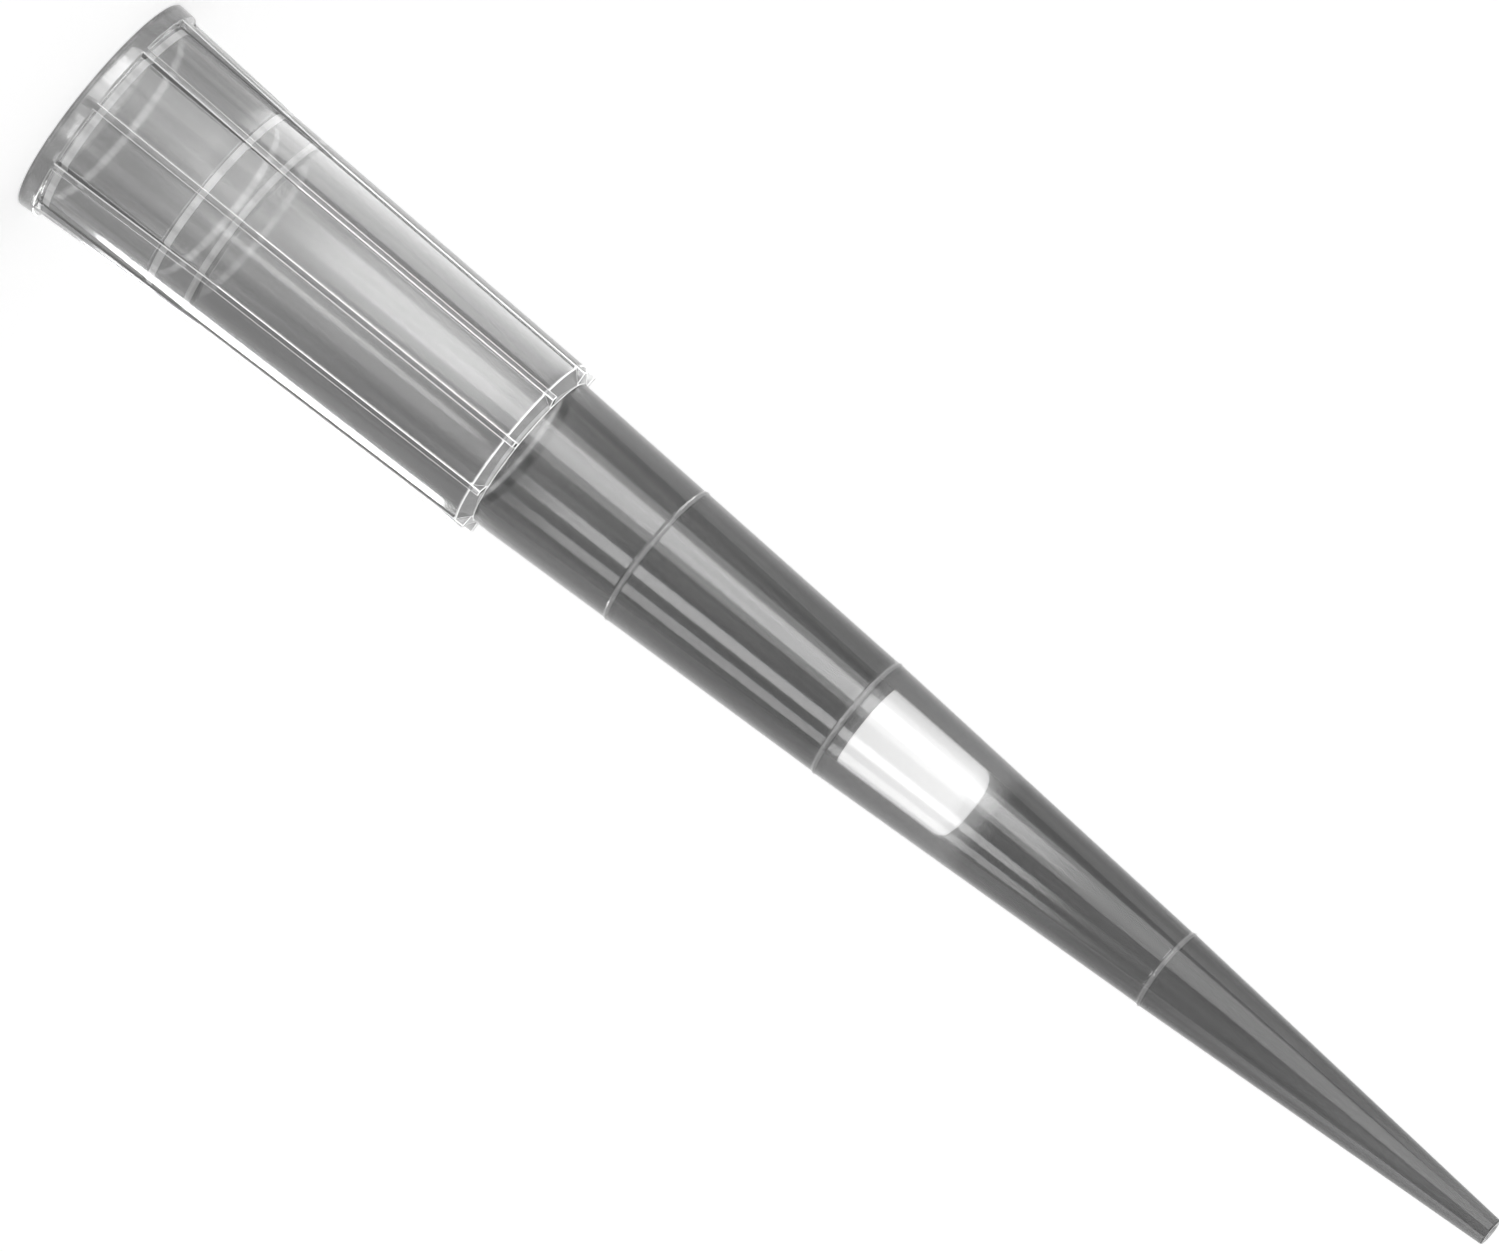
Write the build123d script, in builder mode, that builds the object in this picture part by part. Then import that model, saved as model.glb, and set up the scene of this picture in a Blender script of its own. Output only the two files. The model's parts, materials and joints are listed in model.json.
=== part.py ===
from build123d import *
import os

# Filter pipette tip, in millimetres. It stands on its mouth: the mouth plane is
# z = 0 and the axis runs up +Z to the fine end. It is turned about that axis,
# except for the fins on its collar. Values named "radius" are measured from it.

# ---- lengths along the axis ------------------------------------------------
rim_height = 0.55          # plain band round the mouth
collar_height = 15.2       # mouth plane to the edge of the shoulder
shoulder_height = 0.3      # over which the shoulder slopes in to the body
upper_body_length = 12.1   # shoulder edge to the 50 mark, where the taper changes
middle_body_length = 11.1  # 50 mark to 10 mark, where it changes again
fine_body_length = 11.6    # 10 mark to the fine end
mark_100_offset = 4.9      # shoulder edge to the 100 mark

# ---- bore ------------------------------------------------------------------
seal_radius = 2.62         # cylindrical land that grips the pipette's cone
seal_length = 1.25
seal_start_height = 4.3
seal_ramp = 0.2            # sloping stretch before and after the land
socket_step = 0.1          # socket over land, where the ramp starts
socket_draft = 0.11        # socket's taper from there out to the lead-in
lead_in_width = 0.27
lead_in_depth = 0.7
chamber_step = 0.15        # how much narrower the chamber starts than the land
seat_radius = 1.28         # where the filter plug starts
seat_taper = 0.135         # how much the bore narrows along the plug
bore_at_mark_10 = 0.735
outlet_radius = 0.235
outlet_length = 0.8

# ---- walls -----------------------------------------------------------------
socket_wall = 0.44         # collar outside the socket, beside the rim band
rim_stand = 0.28           # rim band over the collar
rim_draft = 0.04           # how much the band narrows over its height
rim_round = 0.08
body_start_wall = 0.5      # at the top of the shoulder
body_wall_at_mark_50 = 0.62
body_wall_at_mark_10 = 0.52
outlet_wall = 0.19
fine_end_round = 0.06
shoulder_step = 0.38       # collar over body

# ---- fins on the collar ----------------------------------------------------
fin_count = 10
fin_width = 0.24
fin_angle = -16.0          # where the first fin stands
fin_tall_length = 5.65     # flush with the rim band, then falling away over this
fin_ridge = 0.06           # how far each fin stands off the rest of the collar
fin_root = 0.15            # how deep it is rooted in the collar's wall

# ---- graduation rings ------------------------------------------------------
mark_width = 0.14
mark_relief = 0.03

# ---- filter plug -----------------------------------------------------------
plug_setback = 0.4         # 50 mark to the plug
plug_length = 3.6
plug_gap = 0.01            # all round, between plug and bore
plug_round = 0.3           # at the end that faces the fine end

# ---- places and radii that follow ------------------------------------------
shoulder_top = collar_height + shoulder_height
mark_100_height = collar_height + mark_100_offset
mark_50_height = collar_height + upper_body_length
mark_10_height = mark_50_height + middle_body_length
tip_length = mark_10_height + fine_body_length
plug_start = mark_50_height + plug_setback
plug_end = plug_start + plug_length
seal_end_height = seal_start_height + seal_length
chamber_start = seal_end_height + seal_ramp
fin_knee_height = rim_height + fin_tall_length

socket_end_radius = seal_radius + socket_step
socket_radius = socket_end_radius + socket_draft
lead_in_radius = socket_radius + lead_in_width
chamber_radius = seal_radius - chamber_step
seat_end_radius = seat_radius - seat_taper


def between(height, low, low_radius, high, high_radius):
    """Radius at a height on the straight flank between two known heights."""
    return low_radius + (high_radius - low_radius) * (height - low) / (high - low)


def chamber_at(height):
    return between(height, chamber_start, chamber_radius, plug_start, seat_radius)


body_start_radius = chamber_at(shoulder_top) + body_start_wall
body_at_mark_50 = chamber_at(mark_50_height) + body_wall_at_mark_50
body_at_mark_10 = bore_at_mark_10 + body_wall_at_mark_10
fine_end_radius = outlet_radius + outlet_wall
collar_root_radius = socket_radius + socket_wall
collar_end_radius = body_start_radius + shoulder_step
rim_radius = collar_root_radius + rim_stand
rim_top_radius = rim_radius - rim_draft


def collar_at(height):
    return between(height, rim_height, collar_root_radius, collar_height, collar_end_radius)


def upper_body_at(height):
    return between(height, shoulder_top, body_start_radius, mark_50_height, body_at_mark_50)


# ---- tip body: one moulding ------------------------------------------------
with BuildPart() as tip_body:
    with BuildSketch(Plane.XZ):
        with BuildLine():
            Polyline(
                (0, 0),
                (rim_radius, 0),
                (rim_top_radius, rim_height),
                (collar_root_radius, rim_height),
                (collar_end_radius, collar_height),
                (body_start_radius, shoulder_top),
                (body_at_mark_50, mark_50_height),
                (body_at_mark_10, mark_10_height),
                (fine_end_radius, tip_length),
                (0, tip_length),
                close=True,
            )
        make_face()
    revolve(axis=Axis.Z)
    fillet(edges().group_by(Axis.Z)[0], rim_round)
    fillet(edges().group_by(Axis.Z)[-1], fine_end_round)

    # Each fin is a thin radial plate, flush with the rim band at one end. Past its
    # knee only a low ridge is left, which runs on over the shoulder.
    with BuildSketch(Plane.XZ) as fin_side:
        Polygon(
            (collar_root_radius - fin_root, rim_height / 2),
            (rim_top_radius, rim_height / 2),
            (rim_top_radius, rim_height),
            (collar_at(fin_knee_height) + fin_ridge, fin_knee_height),
            (collar_end_radius + fin_ridge, collar_height),
            (collar_end_radius + fin_ridge, shoulder_top),
            (body_start_radius - fin_root, shoulder_top),
            (collar_end_radius - shoulder_step - fin_root, collar_height),
            align=None,
        )
    fin = extrude(amount=fin_width / 2, both=True, mode=Mode.PRIVATE)
    with PolarLocations(0, fin_count, start_angle=fin_angle):
        add(fin)

    # Graduation rings: low round beads for 100, 50 and 10 microlitres.
    bead_radius = (mark_width**2 / 4 + mark_relief**2) / (2 * mark_relief)
    for height, radius in (
        (mark_100_height, upper_body_at(mark_100_height)),
        (mark_50_height, body_at_mark_50),
        (mark_10_height, body_at_mark_10),
    ):
        with BuildSketch(Plane.XZ):
            with Locations((radius + mark_relief - bead_radius, height)):
                Circle(bead_radius)
        revolve(axis=Axis.Z)

    with BuildSketch(Plane.XZ):
        with BuildLine():
            Polyline(
                (0, 0),
                (lead_in_radius, 0),
                (socket_radius, lead_in_depth),
                (socket_end_radius, seal_start_height - seal_ramp),
                (seal_radius, seal_start_height),
                (seal_radius, seal_end_height),
                (chamber_radius, chamber_start),
                (seat_radius, plug_start),
                (seat_end_radius, plug_end),
                (bore_at_mark_10, mark_10_height),
                (outlet_radius, tip_length - outlet_length),
                (outlet_radius, tip_length),
                (0, tip_length),
                close=True,
            )
        make_face()
    revolve(axis=Axis.Z, mode=Mode.SUBTRACT)

# ---- filter plug: porous, pushed down the bore until the taper holds it ----
with BuildPart() as filter_plug:
    with BuildSketch(Plane.XZ):
        with BuildLine():
            Polyline(
                (0, plug_start),
                (seat_radius - plug_gap, plug_start),
                (seat_end_radius - plug_gap, plug_end),
                (0, plug_end),
                close=True,
            )
        make_face()
    revolve(axis=Axis.Z)
    fillet(edges().group_by(Axis.Z)[-1], plug_round)

tip_body.part.label = "tip_body"
filter_plug.part.label = "filter_plug"

os.makedirs("parts", exist_ok=True)
export_step(tip_body.part, "parts/tip_body.step")
export_step(filter_plug.part, "parts/filter_plug.step")
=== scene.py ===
# %% [markdown]
# # A filter pipette tip
#
# The tip is one moulding in clear polypropylene, with a white porous plug pushed
# into it. Clear plastic shows every edge it has, in front and behind, so the looks
# come from true walls with a true thickness rather than from paint.
#
# The imported model is loaded first and stays as it is. It gives the overall size,
# which is noted here.

import json
import math

import bpy
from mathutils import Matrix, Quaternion, Vector

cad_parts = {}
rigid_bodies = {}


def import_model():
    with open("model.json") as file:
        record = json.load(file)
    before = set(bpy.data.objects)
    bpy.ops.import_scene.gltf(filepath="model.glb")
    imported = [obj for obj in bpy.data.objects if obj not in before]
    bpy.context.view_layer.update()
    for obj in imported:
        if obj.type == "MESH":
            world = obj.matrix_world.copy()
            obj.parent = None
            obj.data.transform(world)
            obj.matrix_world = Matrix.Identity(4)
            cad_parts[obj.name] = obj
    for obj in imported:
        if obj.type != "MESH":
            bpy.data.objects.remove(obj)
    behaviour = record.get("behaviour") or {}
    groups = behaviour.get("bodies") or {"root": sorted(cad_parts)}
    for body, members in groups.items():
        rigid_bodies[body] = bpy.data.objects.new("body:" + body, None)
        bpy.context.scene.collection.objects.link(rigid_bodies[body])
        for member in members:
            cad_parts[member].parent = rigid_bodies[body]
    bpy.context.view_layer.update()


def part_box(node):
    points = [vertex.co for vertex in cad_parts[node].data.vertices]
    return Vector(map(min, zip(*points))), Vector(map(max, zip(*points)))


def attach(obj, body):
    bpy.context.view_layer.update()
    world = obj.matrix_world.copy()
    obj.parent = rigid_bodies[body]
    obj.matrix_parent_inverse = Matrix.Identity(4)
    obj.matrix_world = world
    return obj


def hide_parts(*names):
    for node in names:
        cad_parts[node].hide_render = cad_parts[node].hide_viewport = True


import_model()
_, tip_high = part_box("tip_body")
plug_low, plug_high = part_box("filter_plug")

# %% [markdown]
# ## Sizes of the outside
#
# Lengths are metres. Heights run from the mouth, where z is 0, to the fine end. The
# overall length is read from the frame, and the rest repeats the driving sizes of
# the construction, so that each wall here lies on the same wall of the solid. One
# could read them off the solid's mesh, but named values say what they belong to.

# %% Outside of the tip
mm = 0.001
tip_length = tip_high.z
rim_height = 0.55 * mm
collar_height = 15.2 * mm
shoulder_top = 15.5 * mm
mark_100_height = 20.1 * mm
mark_50_height = 27.3 * mm
mark_10_height = 38.4 * mm

rim_radius = 3.55 * mm
rim_top_radius = 3.51 * mm
collar_root_radius = 3.27 * mm
collar_end_radius = 2.82 * mm
body_start_radius = 2.44 * mm
body_at_mark_50 = 1.92 * mm
body_at_mark_10 = 1.255 * mm
fine_end_radius = 0.425 * mm
print("outside: %.1f mm long, %.2f mm across the rim" % (tip_length / mm, 2 * rim_radius / mm))

# %% [markdown]
# ## Sizes of the bore
#
# The pipette's shaft enters a wide socket and seals on a short cylindrical land.
# Past the land the chamber narrows to the plug's seat, and then to the outlet.

# %% Bore of the tip
lead_in_radius = 3.10 * mm
lead_in_depth = 0.7 * mm
socket_radius = 2.83 * mm
socket_end_radius = 2.72 * mm
seal_radius = 2.62 * mm
seal_start = 4.3 * mm
seal_end = 5.55 * mm
seal_ramp = 0.2 * mm
chamber_radius = 2.47 * mm
plug_start = plug_low.z
plug_end = plug_high.z
seat_radius = 1.28 * mm
seat_end_radius = 1.145 * mm
bore_at_mark_10 = 0.735 * mm
outlet_radius = 0.235 * mm
outlet_length = 0.8 * mm
print("wall at the fine end: %.2f mm" % ((fine_end_radius - outlet_radius) / mm))

# %% [markdown]
# ## Selecting by place
#
# An operator works on all that is selected, so each step starts by clearing the
# selection and then picks vertices, edges or faces by where they are. Picking them by
# number would break as soon as a ring is added.

# %% Selection helpers
def only(tip_part):
    """Makes one object the selected and active one."""
    bpy.ops.object.select_all(action="DESELECT")
    tip_part.select_set(True)
    bpy.context.view_layer.objects.active = tip_part


def pick(tip_part, kind, test):
    """In edit mode, selects the vertices, edges or faces that pass a test."""
    modes = {"vertices": "VERT", "edges": "EDGE", "polygons": "FACE"}
    bpy.ops.mesh.select_all(action="DESELECT")
    bpy.ops.mesh.select_mode(type=modes[kind])
    bpy.ops.object.mode_set(mode="OBJECT")
    for item in getattr(tip_part.data, kind):
        item.select = test(item)
    bpy.ops.object.mode_set(mode="EDIT")


def modify(tip_part, kind, **settings):
    """Adds a modifier with these settings and applies it."""
    only(tip_part)
    modifier = tip_part.modifiers.new(kind.title(), kind)
    for name, value in settings.items():
        setattr(modifier, name, value)
    bpy.ops.object.modifier_apply(modifier=modifier.name)

# %% [markdown]
# ## Measuring on the tip
#
# Everything on the tip is round its axis or along it, so a place is told by its
# height and its radius, and a flank is a straight line between two known stations.
# One more line runs up the middle of the collar's wall: it tells the outside of the
# collar from its bore.

# %% Measuring helpers
mid_wall_at_rim = 3.0 * mm
mid_wall_at_shoulder = 2.34 * mm


def between(height, low, low_radius, high, high_radius):
    """Radius at a height on the straight flank between two known heights."""
    return low_radius + (high_radius - low_radius) * (height - low) / (high - low)


def collar_at(height):
    return between(height, rim_height, collar_root_radius, collar_height, collar_end_radius)


def inside_wall(height):
    """A radius in the middle of the collar's wall, between its outside and its bore."""
    return between(height, rim_height, mid_wall_at_rim, shoulder_top, mid_wall_at_shoulder)


def radius_of(point):
    return math.hypot(point.x, point.y)


def near(value, target, room=0.004 * mm):
    return abs(value - target) < room


print("collar halfway up: %.3f mm in radius" % (collar_at(collar_height / 2) / mm))

# %% [markdown]
# ## Stations of the outside
#
# A turner works to a profile, and so does this mesh: each station is a radius and a
# height. A corner that is smoothly rounded gets an arc of stations. A holding ring
# beside each arc and bead keeps the shading of the flank next to it flat. The
# graduation rings are low beads, because a mould can only engrave a raised ring.

# %% Outside stations
hold = 0.06 * mm
mouth_round = 0.09 * mm
fine_end_round = 0.06 * mm
mark_width = 0.14 * mm
mark_relief = 0.03 * mm


def toward(start, end, distance):
    """The station at a distance from start, on the line to end."""
    run = math.dist(start, end)
    return tuple(a + (b - a) * distance / run for a, b in zip(start, end))


def rounded(before, corner, after, size, pieces=4):
    """Stations round a corner, with a holding ring outside each end of the arc."""
    start, end = toward(corner, before, size), toward(corner, after, size)
    curve = []
    for i in range(pieces + 1):
        t = i / pieces
        middle = toward(corner, before, size * (1 - t)), toward(corner, after, size * t)
        curve.append(tuple(a + (b - a) * t for a, b in zip(*middle)))
    return [toward(start, before, hold), *curve, toward(end, after, hold)]


def bead(height, radius):
    """Stations over one raised graduation ring, on a flank of the given radius."""
    half = mark_width / 2
    rise = [(0, -half - hold), (0, -half), (0.7, -0.45 * half), (1, 0)]
    fall = [(share, -step) for share, step in rise[-2::-1]]
    return [(radius + share * mark_relief, height + step) for share, step in rise + fall]


fin_knee_height = 6.2 * mm
mark_100_radius = between(
    mark_100_height, shoulder_top, body_start_radius, mark_50_height, body_at_mark_50)
outside = [
    *rounded((lead_in_radius, 0), (rim_radius, 0), (rim_top_radius, rim_height), mouth_round),
    (rim_top_radius, rim_height),
    (collar_root_radius, rim_height),
    (collar_at(rim_height + hold), rim_height + hold),
    (collar_at(fin_knee_height), fin_knee_height),
    (collar_at(collar_height - hold), collar_height - hold),
    (collar_end_radius, collar_height),
    (body_start_radius, shoulder_top),
    (body_start_radius, shoulder_top + hold),
    *bead(mark_100_height, mark_100_radius),
    *bead(mark_50_height, body_at_mark_50),
    *bead(mark_10_height, body_at_mark_10),
    *rounded((body_at_mark_10, mark_10_height), (fine_end_radius, tip_length),
             (outlet_radius, tip_length), fine_end_round),
]
print("outside stations:", len(outside))

# %% [markdown]
# ## Stations of the bore
#
# The bore is the shape of the mould's core pin, listed from the outlet down to the
# mouth. The pin's corners are rounded from the chamber to the mouth, which is what
# makes the land show as two soft rings through the collar. Level with the shoulder
# the two parts of the pin meet. They leave a fine line round the bore, which here is
# a ring of its own on the straight flank.

# %% Bore stations
core_round = 0.05 * mm
pin_line_width = 0.13 * mm


def chamber_at(height):
    return between(height, seal_end + seal_ramp, chamber_radius, plug_start, seat_radius)


pin_line = [(chamber_at(z), z) for z in (
    collar_height + pin_line_width / 2, collar_height - pin_line_width / 2)]
core_pin = [
    (outlet_radius, tip_length),
    (outlet_radius, tip_length - outlet_length),
    (bore_at_mark_10, mark_10_height),
    (seat_end_radius, plug_end),
    (seat_radius, plug_start),
    *pin_line,
    (chamber_radius, seal_end + seal_ramp),
    (seal_radius, seal_end),
    (seal_radius, seal_start),
    (socket_end_radius, seal_start - seal_ramp),
    (socket_radius, lead_in_depth),
    (lead_in_radius, 0),
    (rim_radius, 0),
]
sharp_stations = 7
bore = core_pin[:sharp_stations]
for i in range(sharp_stations, len(core_pin) - 1):
    bore += rounded(core_pin[i - 1], core_pin[i], core_pin[i + 1], core_round)
print("bore stations:", len(bore))

# %% [markdown]
# ## Turning the tip body
#
# A circle is extruded from station to station, up the outside, over the fine end and
# back down the bore to the mouth, and scaled to each radius. The last ring meets the
# first, which closes the wall. The Spin tool or a Screw modifier would turn the same
# profile; extruding keeps every ring where it is named. The circle has a whole
# number of steps between two fins, and its first vertex stands at a fin's side.

# %% Turn the body
fin_count = 10
fin_angle = math.radians(-16)
steps_per_fin = 28
steps = fin_count * steps_per_fin
step_angle = 2 * math.pi / steps


def turn(name, stations):
    """A closed turned wall through the stations, with its first vertex beside a fin."""
    bpy.ops.object.select_all(action="DESELECT")
    first = fin_angle + step_angle / 2 - math.pi / 2
    radius, height = stations[0]
    bpy.ops.mesh.primitive_circle_add(
        vertices=steps, radius=radius, fill_type="NOTHING", location=(0, 0, height),
        rotation=(0, 0, first))
    turned = bpy.context.object
    turned.name = name
    bpy.ops.object.transform_apply(location=True, rotation=True, scale=True)
    bpy.ops.object.mode_set(mode="EDIT")
    bpy.ops.mesh.select_all(action="SELECT")
    for next_radius, next_height in stations[1:] + stations[:1]:
        bpy.ops.mesh.extrude_region_move(
            TRANSFORM_OT_translate={"value": (0, 0, next_height - height)})
        growth = next_radius / radius
        bpy.ops.transform.resize(
            value=(growth, growth, 1), center_override=(0, 0, next_height))
        radius, height = next_radius, next_height
    return turned


def close_skin():
    """In edit mode, joins vertices that meet, turns faces outwards and leaves edit mode."""
    bpy.ops.mesh.select_all(action="SELECT")
    bpy.ops.mesh.remove_doubles(threshold=0.001 * mm)
    bpy.ops.mesh.normals_make_consistent(inside=False)
    bpy.ops.object.mode_set(mode="OBJECT")


tip_body = turn("clear_tip_body", outside + bore)
close_skin()
print("turned body:", len(tip_body.data.polygons), "faces")

# %% [markdown]
# ## Where the fins stand
#
# Ten thin radial fins let the tip drop freely into its rack. Near the mouth a fin is
# flush with the rim band. Past its knee only a low ridge is left. A fin is as wide
# as three steps of the turned wall, so it takes whole faces of it.

# %% Places of the fins
fin_ridge = 0.06 * mm
fin_faces = 3
fin_half_angle = fin_faces * step_angle / 2
pitch = 2 * math.pi / fin_count


def in_fin(point):
    """Whether a point lies in the sector of one of the fins."""
    off = (math.atan2(point.y, point.x) - fin_angle + pitch / 2) % pitch - pitch / 2
    return abs(off) < fin_half_angle


def under_fin(face):
    """Whether a face of the collar's or the shoulder's outside carries a fin."""
    on_flank = abs(face.normal.z) < 0.99 and rim_height < face.center.z < shoulder_top
    return on_flank and radius_of(face.center) > inside_wall(face.center.z) and in_fin(face.center)


def crest_at(height):
    """Radius of a fin's crest: flush with the rim band, then low over the collar."""
    if height < fin_knee_height:
        knee_crest = collar_at(fin_knee_height) + fin_ridge
        return between(height, rim_height, rim_top_radius, fin_knee_height, knee_crest)
    return collar_at(min(height, collar_height)) + fin_ridge


print("faces under fins:", sum(1 for face in tip_body.data.polygons if under_fin(face)))

# %% [markdown]
# ## Raising the fins
#
# Separate plates could be stood on the collar, but clear plastic would show their
# buried roots. The fins are raised from the wall itself instead: the faces under each
# one are extruded, and every ring of them is scaled out from the axis to the crest.
# That keeps one closed skin.

# %% Raise the fins
only(tip_body)
bpy.ops.object.mode_set(mode="EDIT")
pick(tip_body, "polygons", under_fin)
bpy.ops.mesh.extrude_region_move(TRANSFORM_OT_translate={"value": (0, 0, 0)})
bpy.ops.object.mode_set(mode="OBJECT")
raised = {v.index for v in tip_body.data.vertices if v.select}
rings = {round(v.co.z, 7): radius_of(v.co) for v in tip_body.data.vertices if v.select}
bpy.ops.object.mode_set(mode="EDIT")
for height, root in rings.items():
    growth = crest_at(height) / root
    pick(tip_body, "vertices", lambda v: v.index in raised and near(v.co.z, height))
    bpy.ops.transform.resize(value=(growth, growth, 1), center_override=(0, 0, height))
print("rings raised on each fin:", len(rings))

# %% [markdown]
# ## Joining the fins to the rim band
#
# A fin's end now lies flat on the upper face of the rim band. Two skins in one place
# make a dark patch in clear plastic, so both are taken out there, and the fin and the
# band become one body.

# %% Join the fins to the band
pick(
    tip_body, "polygons",
    lambda f: near(f.center.z, rim_height) and abs(f.normal.z) > 0.99 and in_fin(f.center))
bpy.ops.mesh.delete(type="FACE")
close_skin()
print("with fins:", len(tip_body.data.polygons), "faces")

# %% [markdown]
# ## Rounded edges
#
# A mould never gives a knife edge, and a rounded edge is what catches the light as
# a thin line. Only real corners are rounded, so the limit is an angle. The modifier
# would also shrink every edge to suit the tightest corner, so that is switched off,
# and the width stays under half the height of a fin's ridge. Weighted normals keep
# the flats beside the rounding flat. The new faces get a mark, as a second material,
# which the next cell reads and then removes.

# %% Round the edges
edge_round = 0.028 * mm
for name in ("clear_polypropylene", "rounded_edge_mark"):
    tip_body.data.materials.append(bpy.data.materials.new(name))
modify(
    tip_body, "BEVEL", width=edge_round, segments=3, limit_method="ANGLE",
    angle_limit=math.radians(35), use_clamp_overlap=False, miter_outer="MITER_SHARP", material=1)
only(tip_body)
bpy.ops.object.shade_smooth()
modify(tip_body, "WEIGHTED_NORMAL", weight=50, keep_sharp=False)
print("rounded:", len(tip_body.data.polygons), "faces")

# %% [markdown]
# ## Where the plastic is frosted and glows with painted light
#
# The long flanks of the mould are polished, but its edges and rings are as the tool
# left them, and there the plastic scatters light and looks white. The same share also
# paints light: the frosted skin glows by emission, which draws the edges and rings as
# bright lines. How frosted and glowing each face is goes into an attribute of the mesh,
# which the material reads. A second material would do for paint, but inside clear
# plastic every change of material is a wall that the light stops at. The shares, from 0
# for polished to 1, come first.

# %% Shares of frost and painted glow
collar_frost_glow = 0.035
bore_frost_glow = ((lead_in_depth, 0.7), (seal_start, 0.75), (seal_end, 0.45), (collar_height, 0.8))
bore_line_reach = 0.09 * mm
mark_frost_glow = 0.06
mark_wall = 0.3 * mm
shoulder_frost_glow = 0.1
shoulder_edge_reach = 0.1 * mm
shoulder_edge_frost_glow, shoulder_edge_flat_frost_glow = 0.43, 0.16
shoulder_foot_frost_glow, fin_end_frost_glow = 0.08, 0.5
tall_fin_edge_frost_glow, tall_fin_side_frost_glow = 0.22, 0.05
crest_frost_glow = 0.38
rim_edge_frost_glow = 0.06
print("frosted rings in the bore:", len(bore_frost_glow))

# %% [markdown]
# ## Which faces belong to a fin
#
# The sector of a fin also holds the wall below it. A fin's own faces are told by their
# radius: they stand off the plain collar and its shoulder.

# %% Faces of the fins
fin_stands_off = 0.015 * mm


def stands_off(face):
    """Whether a face belongs to a fin: it lies outside the collar and its shoulder."""
    height = face.center.z
    flank = collar_at(height) if height < collar_height else between(
        height, collar_height, collar_end_radius, shoulder_top, body_start_radius)
    on_collar = rim_height < height < shoulder_top + hold / 2
    return on_collar and radius_of(face.center) > flank + fin_stands_off


print("faces of fins:", sum(1 for face in tip_body.data.polygons if stands_off(face)))

# %% [markdown]
# ## Frosting and painted glow face by face
#
# The bore is looked at first, then the graduation rings, the shoulder, the fins and
# last the rim. A second attribute marks the fins for painted shade: they are made a
# little darker. The mark of the rounded faces has then done its work, and its slot is
# taken out.

# %% Frost the edges and paint their glow
def frost_and_glow_of(face):
    """How frosted a face is, and how much it glows with painted light: the sharp rings most, the
    polished flanks least.
    """
    height, radius = face.center.z, radius_of(face.center)
    rounded_over = face.material_index == 1
    flank_frost_glow = collar_frost_glow if height < collar_height else 0.0
    if height < shoulder_top and radius < inside_wall(height):
        on_rings = [share for ring, share in bore_frost_glow if near(height, ring, bore_line_reach)]
        return max([flank_frost_glow] + on_rings)
    if any(near(height, mark, mark_width / 2)
           for mark in (mark_100_height, mark_50_height, mark_10_height)):
        return mark_frost_glow * (radius > bore_at_mark_10 + mark_wall)
    if near(height, collar_height, shoulder_edge_reach):
        return shoulder_edge_frost_glow if rounded_over else shoulder_edge_flat_frost_glow
    if height > collar_height:
        if rounded_over:
            return fin_end_frost_glow if stands_off(face) else shoulder_foot_frost_glow
        return shoulder_frost_glow * (height < shoulder_top)
    if in_fin(face.center) and height > rim_height:
        if height < fin_knee_height:
            return tall_fin_edge_frost_glow if rounded_over else tall_fin_side_frost_glow
        return crest_frost_glow if rounded_over else flank_frost_glow
    return rim_edge_frost_glow if rounded_over else flank_frost_glow


# The frost attribute carries real frost and painted glow together.
frost_and_painted_glow = tip_body.data.attributes.new("frost_and_painted_glow", "FLOAT", "FACE")
# This second attribute marks the fins for painted shade, a darker tint.
fin_shade_values = tip_body.data.attributes.new("fin_painted_shade_mask", "FLOAT", "FACE")
for face in tip_body.data.polygons:
    frost_and_painted_glow.data[face.index].value = frost_and_glow_of(face)
    fin_shade_values.data[face.index].value = float(stands_off(face))
    face.material_index = 0
tip_body.data.materials.pop(index=1)
print("frosted faces:", sum(1 for item in frost_and_painted_glow.data if item.value > 0))

# %% [markdown]
# ## Filter plug
#
# The plug is a short taper of white granules fused together. It is pressed out as a
# cone, so it starts as one here, a hair smaller than its seat. The end that faces the
# outlet is well rounded and the other only just: its edge crumbles a little when the
# plug is cut.

# %% Model the plug
plug_gap = 0.01 * mm
plug_round = 0.3 * mm
plug_cut_round = 0.05 * mm


def shape_plug():
    bpy.ops.object.select_all(action="DESELECT")
    bpy.ops.mesh.primitive_cone_add(
        vertices=96, radius1=seat_radius - plug_gap, radius2=seat_end_radius - plug_gap,
        depth=plug_end - plug_start, end_fill_type="NGON",
        location=(0, 0, (plug_start + plug_end) / 2))
    plug = bpy.context.object
    plug.name = "white_filter_plug"
    bpy.ops.object.transform_apply(location=True, rotation=True, scale=True)
    bpy.ops.object.mode_set(mode="EDIT")
    pick(plug, "polygons", lambda f: f.normal.z > 0.9)
    bpy.ops.mesh.bevel(offset=plug_round, segments=8, profile=0.5, affect="EDGES")
    pick(plug, "polygons", lambda f: f.normal.z < -0.9)
    bpy.ops.mesh.bevel(offset=plug_cut_round, segments=3, profile=0.5, affect="EDGES")
    bpy.ops.object.mode_set(mode="OBJECT")
    bpy.ops.object.shade_smooth()
    modify(plug, "WEIGHTED_NORMAL", weight=50, keep_sharp=False)
    return plug


filter_plug = shape_plug()
print("plug:", len(filter_plug.data.polygons), "faces")

# %% [markdown]
# ## Shader maths
#
# A small class wraps a node socket, so that shader maths reads as Python: adding or
# multiplying two of them adds the Math node.

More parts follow.
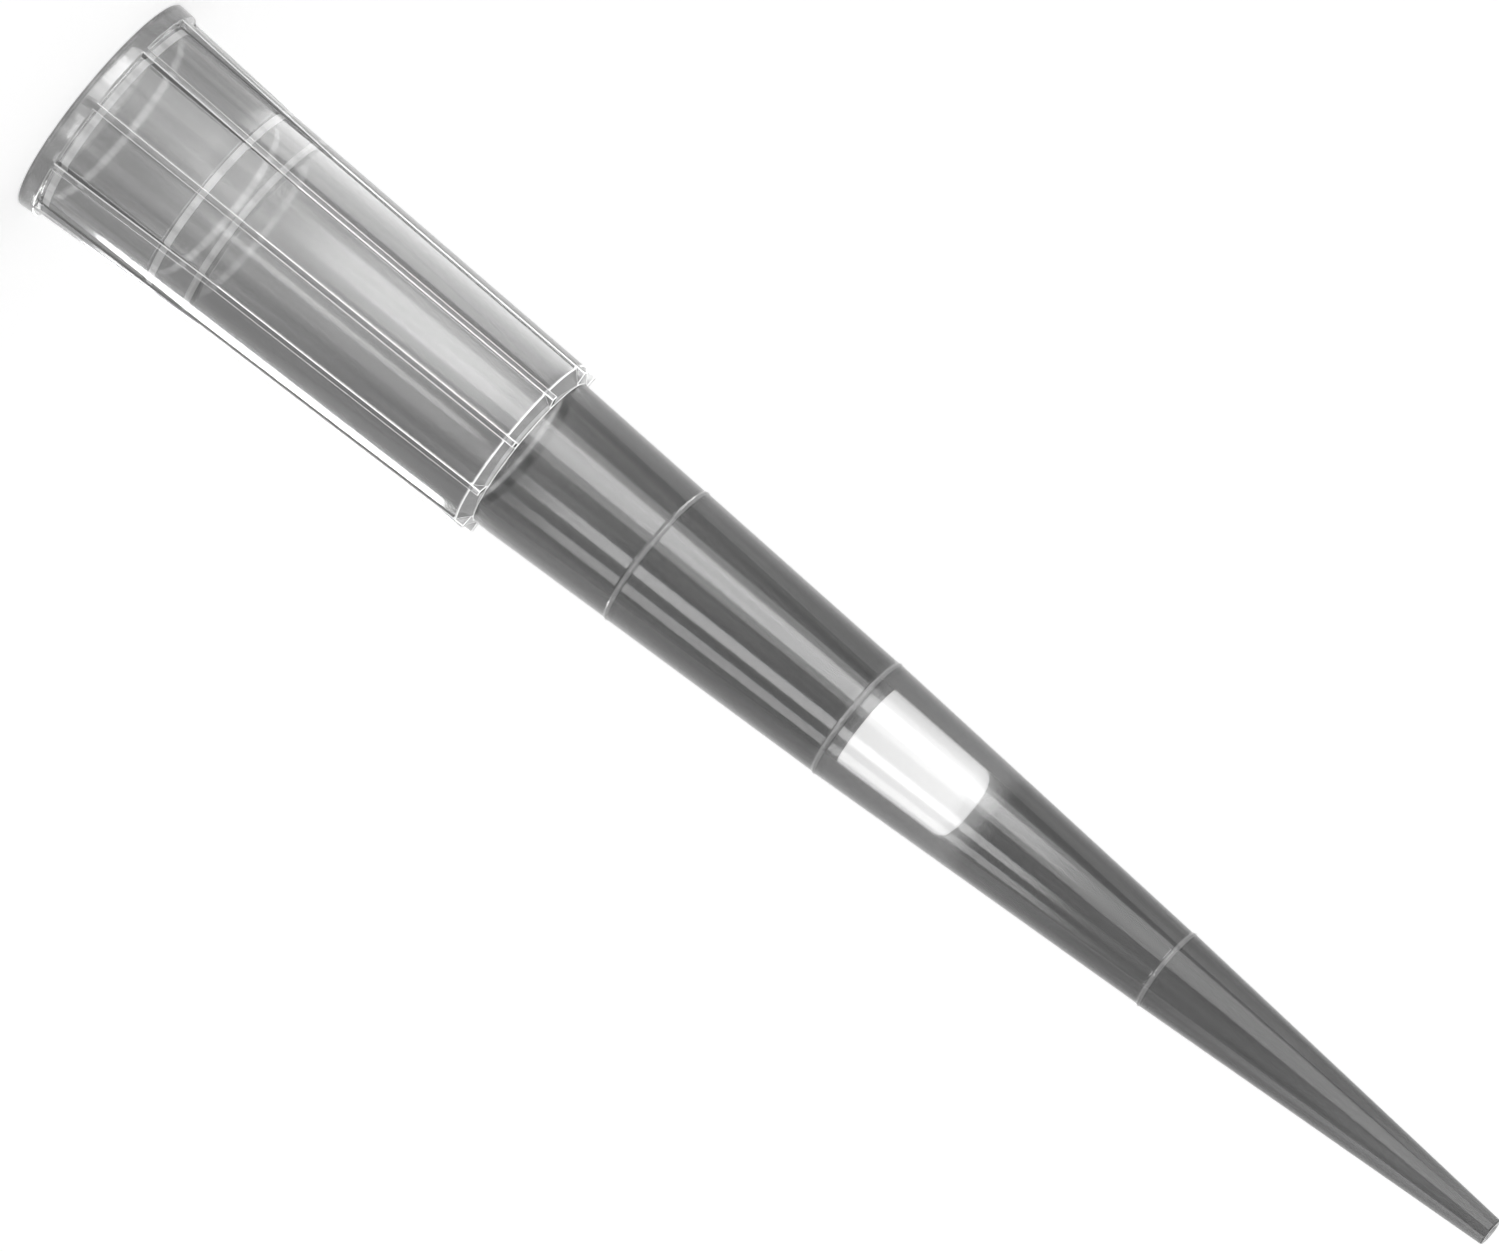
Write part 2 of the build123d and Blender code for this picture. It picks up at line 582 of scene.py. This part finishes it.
# %% A number in a shader
class Signal:
    """A number socket that can be used in Python expressions."""

    def __init__(self, shop, socket):
        self.shop = shop
        self.socket = socket

    def _with(self, operation, left, right):
        node = self.shop.add("ShaderNodeMath", {"operation": operation}, {0: left, 1: right})
        return Signal(self.shop, node.outputs[0])

    def __add__(self, other):
        return self._with("ADD", self, other)

    def __mul__(self, other):
        return self._with("MULTIPLY", self, other)

    def __rsub__(self, other):
        return self._with("SUBTRACT", other, self)

    __radd__ = __add__
    __rmul__ = __mul__

# %% [markdown]
# ## Node shop
#
# One method adds any other node: its settings are set first, and then the value or
# the link of each socket. Two more ask for a number at once, and for a number that
# changes evenly while another one does.

# %% Node shop
class Shop:
    """The node tree of one material or world."""

    def __init__(self, owner):
        owner.use_nodes = True
        self.tree = owner.node_tree
        self.tree.nodes.clear()

    def add(self, kind, settings=None, sockets=None):
        node = self.tree.nodes.new(kind)
        for name, value in (settings or {}).items():
            setattr(node, name, value)
        for name, value in (sockets or {}).items():
            value = value.socket if isinstance(value, Signal) else value
            if isinstance(value, bpy.types.NodeSocket):
                self.tree.links.new(value, node.inputs[name])
            else:
                node.inputs[name].default_value = value
        return node

    def number(self, kind, sockets, output=0):
        return Signal(self, self.add(kind, {}, sockets).outputs[output])

    def attribute(self, name):
        """The value that the mesh keeps under this name for each face."""
        return Signal(self, self.add(
            "ShaderNodeAttribute", {"attribute_name": name}).outputs["Fac"])

    def graded(self, value, start, end, at_start, at_end):
        """Goes evenly from at_start to at_end as the value goes from start to end."""
        return self.number("ShaderNodeMapRange", {
            "Value": value, "From Min": start, "From Max": end,
            "To Min": at_start, "To Max": at_end})

# %% [markdown]
# ## How clear the plastic is along the tip, with painted shade and light
#
# Light that comes in at a wall is partly held back. The melt flows from the rim to
# the fine end and leaves faint streaks, so the share that passes varies across them.
# It also falls towards both ends, as painted shade: on the table the mouth and the fine
# end lie nearest to the dark ground, and a slightly deeper tint paints it in. The fins,
# which are seen edge-on at both sides, get the same painted shade. Beside the plug the
# wall stays clear, as painted light: the plug is bright and lights the plastic round it.

# %% Clearness and painted shade
flow_range = 0.38, 0.62
streak_clearness = 0.45
mouth_painted_shade_clearness = 0.92
body_clearness = 0.74
fine_end_painted_shade_clearness = 0.6
fin_painted_shade_clearness = 0.72
plug_painted_light_from = plug_start - 0.7 * mm, plug_start - 0.3 * mm
plug_painted_light_until = plug_end + 0.3 * mm, plug_end + 0.9 * mm


def clearness_with_painted_shade(shop, flow, height):
    """The share of light that passes a wall, from 0 to 1, with painted shade towards the ends and
    on the fins and painted light beside the plug.
    """
    painted_shade_on_fins = shop.graded(shop.attribute("fin_painted_shade_mask"), 0.0, 1.0, 1.0, fin_painted_shade_clearness)
    streaks = shop.graded(flow, *flow_range, streak_clearness, 1.0)
    # Painted shade: the tint deepens towards the mouth, the fine end and on the fins; painted
    # light: the wall is clearer beside the plug.
    painted_shade_from_mouth = shop.graded(height, 0.0, seal_start, mouth_painted_shade_clearness, 1.0)
    past_shoulder = shop.graded(height, collar_height, shoulder_top, 1.0, body_clearness)
    painted_shade_to_fine_end = shop.graded(height, shoulder_top, tip_length, 1.0, fine_end_painted_shade_clearness)
    painted_light_beside_plug = shop.graded(height, *plug_painted_light_from, 0.0, 1.0) * shop.graded(
        height, *plug_painted_light_until, 1.0, 0.0)
    tint = streaks * painted_shade_from_mouth * past_shoulder * painted_shade_to_fine_end * painted_shade_on_fins
    return tint + painted_light_beside_plug * (1 - tint)


print("clear beside the plug: %.1f to %.1f mm" % (plug_painted_light_from[1] / mm, plug_painted_light_until[0] / mm))

# %% [markdown]
# ## Clear polypropylene
#
# Polypropylene without pigment passes light but holds back a little of it, so the
# longer the way through the wall, the darker it looks. That is an absorbing volume
# inside a refracting skin. Its density is deeper than the plastic's own, as painted
# shade: it gives the tip the grey of a dark ground seen through it. A glass shader alone
# would look like glass: too bright at the edges and too hard. The soft second shine of
# the plastic is a rough coat, and the lines drawn by the flow are a noise that is
# stretched along the axis.

# %% Clear plastic
def clear_polypropylene(material):
    shop = Shop(material)
    place = shop.add("ShaderNodeTexCoord").outputs["Object"]
    drawn = shop.add("ShaderNodeMapping", {}, {"Vector": place, "Scale": (1, 1, 0.004)}).outputs[0]
    flow = shop.number("ShaderNodeTexNoise", {"Vector": drawn, "Scale": 1900, "Detail": 2})
    height = shop.number("ShaderNodeSeparateXYZ", {"Vector": place}, 2)
    flow_lines = shop.add("ShaderNodeBump", {}, {
        "Height": flow, "Strength": 0.05, "Distance": 0.0001}).outputs[0]
    polished = shop.add("ShaderNodeBsdfPrincipled", {}, {
        "Base Color": clearness_with_painted_shade(shop, flow, height), "Roughness": 0.1, "IOR": 1.49,
        "Transmission Weight": 1.0, "Coat Weight": 0.45, "Coat Roughness": 0.3,
        "Coat IOR": 1.4, "Normal": flow_lines}).outputs[0]
    # The frosted skin is white as real frost is, and its emission is painted light: it makes the
    # edges and rings glow.
    frosted_glow = shop.add("ShaderNodeBsdfPrincipled", {}, {
        "Base Color": (0.95, 0.95, 0.95, 1), "Roughness": 0.3, "IOR": 1.49,
        "Transmission Weight": 0.1, "Emission Color": (1, 1, 1, 1),
        "Emission Strength": 0.9}).outputs[0]
    skin = shop.add("ShaderNodeMixShader", {}, {
        0: shop.attribute("frost_and_painted_glow"), 1: polished, 2: frosted_glow}).outputs[0]
    # Part of this absorption is the plastic's own and part is painted shade that greys the whole
    # tip.
    absorption_and_painted_shade = shop.add("ShaderNodeVolumeAbsorption", {}, {
        "Color": (0, 0, 0, 1), "Density": 1250}).outputs[0]
    shop.add("ShaderNodeOutputMaterial", {}, {"Surface": skin, "Volume": absorption_and_painted_shade})


clear_polypropylene(tip_body.data.materials[0])
print("clear plastic:", len(tip_body.data.materials[0].node_tree.nodes), "nodes")

# %% [markdown]
# ## Porous polyethylene
#
# The plug's granules are about a tenth of a millimetre and fused where they touch.
# A cell pattern gives them as bump, because they are far too many to model. Light
# goes from granule to granule and comes out all over, which a little emission does
# with less noise than scattering inside the plug. That glow is painted light: it keeps
# the white plug bright behind the tinted wall.

# %% Porous plastic
def porous_polyethylene(material):
    shop = Shop(material)
    place = shop.add("ShaderNodeTexCoord").outputs["Object"]
    granules = shop.number("ShaderNodeTexVoronoi", {"Vector": place, "Scale": 9000})
    grain = shop.add("ShaderNodeBump", {}, {
        "Height": granules, "Strength": 0.25, "Distance": 0.00003}).outputs[0]
    # The plug's white is its own; its emission is painted light that makes it glow.
    white = shop.add("ShaderNodeBsdfPrincipled", {}, {
        "Base Color": (0.95, 0.95, 0.94, 1), "Roughness": 0.75, "Normal": grain,
        "Emission Color": (1, 1, 1, 1), "Emission Strength": 1.4}).outputs[0]
    shop.add("ShaderNodeOutputMaterial", {}, {"Surface": white})


filter_plug.data.materials.append(bpy.data.materials.new("porous_polyethylene"))
porous_polyethylene(filter_plug.data.materials[0])
print("porous plastic:", len(filter_plug.data.materials[0].node_tree.nodes), "nodes")

# %% [markdown]
# ## Tying the pieces to the frame
#
# Nothing on a tip moves, so both pieces ride on the one body. Each stands for the
# solid of the same part, which stays in the model but isn't shown.

# %% Tie the pieces
for tip_part, node, slot in (
        (tip_body, "tip_body", "clear_polypropylene"),
        (filter_plug, "filter_plug", "porous_polyethylene")):
    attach(tip_part, "root")
    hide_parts(node)
    print(tip_part.name, "stands for", node)

# %% [markdown]
# ## World
#
# The tip is shown on plain white. A world as bright as that would wash the clear
# plastic out, so it is white only for rays that look at it: straight, by reflection
# or through the plastic. All other light from it is softer.

# %% World
def looked_at(shop):
    """1 for the rays that look at a surface, and 0 for those that only carry light."""
    path = shop.add("ShaderNodeLightPath").outputs
    looks = [Signal(shop, path[f"Is {kind} Ray"]) for kind in ("Camera", "Glossy", "Transmission")]
    return looks[0] + looks[1] + looks[2]


world = bpy.data.worlds.new("studio")
bpy.context.scene.world = world
shop = Shop(world)
soft, white = (
    shop.add("ShaderNodeBackground", {}, {"Color": (1, 1, 1, 1), "Strength": strength}).outputs[0]
    for strength in (0.6, 1.0))
seen = shop.add("ShaderNodeMixShader", {}, {0: looked_at(shop), 1: soft, 2: white}).outputs[0]
shop.add("ShaderNodeOutputWorld", {}, {"Surface": seen})
print("world:", world.name)

# %% [markdown]
# ## Floor
#
# The floor is matt white paper. For the rays that look at it a little glow is added,
# which brings the lit paper up to white and still leaves the tip's soft shadow.

# %% Floor
bpy.ops.object.select_all(action="DESELECT")
bpy.ops.mesh.primitive_plane_add(size=1.6, location=(0, 0.3, 0))
floor = bpy.context.object
floor.name = "studio_floor"
paper = bpy.data.materials.new("white_paper")
shop = Shop(paper)
matt = shop.add("ShaderNodeBsdfDiffuse", {}, {"Color": (0.9, 0.9, 0.9, 1)}).outputs[0]
glow = shop.add("ShaderNodeEmission", {}, {"Color": (1, 1, 1, 1), "Strength": 0.48}).outputs[0]
lit_up = shop.add("ShaderNodeAddShader", {}, {0: glow, 1: matt}).outputs[0]
seen = shop.add("ShaderNodeMixShader", {}, {0: looked_at(shop), 1: matt, 2: lit_up}).outputs[0]
shop.add("ShaderNodeOutputMaterial", {}, {"Surface": seen})
floor.data.materials.append(paper)
print("floor:", tuple(floor.dimensions))

# %% [markdown]
# ## Lamps
#
# Clear plastic is drawn by what it mirrors: each upright lamp makes one light band
# along the tip. A broad key on the left makes the wide band, two strips on the right
# make the thin ones, and small lamps close to the collar reach only the collar. The
# bands end where the lamps do. Through the plastic a lamp would show as a hard bright
# bar, so lamps are hidden from that and from the camera. As near as they are, they
# would bleach the floor and its shadow too, so they light the two pieces only.

# %% Lamps
lit_pieces = bpy.data.collections.new("lit_by_the_lamps")
for tip_part in (tip_body, filter_plug):
    lit_pieces.objects.link(tip_part)


def lamp(name, azimuth, distance, low, high, width, radiance):
    """An upright soft area lamp that faces the tip's axis, from height low to high."""
    light = bpy.data.lights.new(name, "AREA")
    light.shape = "RECTANGLE"
    light.size = width
    light.size_y = high - low
    light.energy = radiance * math.pi * width * (high - low)
    fixture = bpy.data.objects.new(name, light)
    bpy.context.scene.collection.objects.link(fixture)
    turn_angle = math.radians(azimuth)
    outward = Vector((math.sin(turn_angle), -math.cos(turn_angle), 0))
    fixture.location = outward * distance + Vector((0, 0, (low + high) / 2))
    fixture.rotation_euler = outward.to_track_quat("Z", "Y").to_euler()
    fixture.visible_camera = False
    fixture.visible_transmission = False
    fixture.light_linking.receiver_collection = lit_pieces
    print(name, "%.3f W" % light.energy)


lamp("key_lamp", -33, 70 * mm, 0.5 * mm, 90 * mm, 70 * mm, 2.6)
lamp("key_core_lamp", -33, 68 * mm, 0.5 * mm, 28.5 * mm, 35 * mm, 5)
lamp("collar_key_lamp", -32, 30 * mm, 0.5 * mm, 11.5 * mm, 44 * mm, 2.5)
lamp("mouth_key_lamp", -36, 9 * mm, 0.2 * mm, 3.2 * mm, 6.5 * mm, 1.7)
lamp("left_lamp", -98, 15 * mm, 2.2 * mm, 13.5 * mm, 14 * mm, 3.8)
lamp("low_rim_lamp", 137, 15 * mm, 0.5 * mm, 12.8 * mm, 14 * mm, 9)
lamp("right_strip", 33, 70 * mm, 9 * mm, 28.5 * mm, 20 * mm, 6)
lamp("far_right_strip", 66, 70 * mm, 9 * mm, 28.5 * mm, 20 * mm, 4)
lamp("collar_strip", 20, 30 * mm, 2.3 * mm, 12 * mm, 3 * mm, 5)
lamp("collar_right_lamp", 22, 30 * mm, 0.5 * mm, 11.5 * mm, 18 * mm, 1.2)

# %% [markdown]
# ## Camera
#
# A long lens from well back keeps the two flanks of the taper straight and even. The
# camera looks a little down on the shoulder and is rolled, so that the tip lies across
# the frame from corner to corner with its mouth at the upper left.

# %% Camera
frame_width = 41.36 * mm
camera_distance = 1.4
camera_elevation = math.radians(8.75)
camera_roll = math.radians(90 + 39.05)
view_centre = Vector((-0.11 * mm, 0, 23.33 * mm))

lens = bpy.data.cameras.new("camera")
lens.sensor_width = 36
lens.lens = lens.sensor_width * camera_distance / frame_width
lens.clip_start = 0.05
lens.clip_end = 10
camera = bpy.data.objects.new("camera", lens)
bpy.context.scene.collection.objects.link(camera)
back = Vector((0, -math.cos(camera_elevation), math.sin(camera_elevation)))
camera.location = view_centre + back * camera_distance
camera.rotation_mode = "QUATERNION"
camera.rotation_quaternion = back.to_track_quat("Z", "Y")
camera.rotation_quaternion.rotate(Quaternion(back, camera_roll))
bpy.context.scene.camera = camera
print("lens: %.0f mm" % lens.lens)

# %% [markdown]
# ## Finish
#
# Colours go out as they are written, with the Standard view.

# %% Finish
bpy.context.scene.view_settings.view_transform = "Standard"
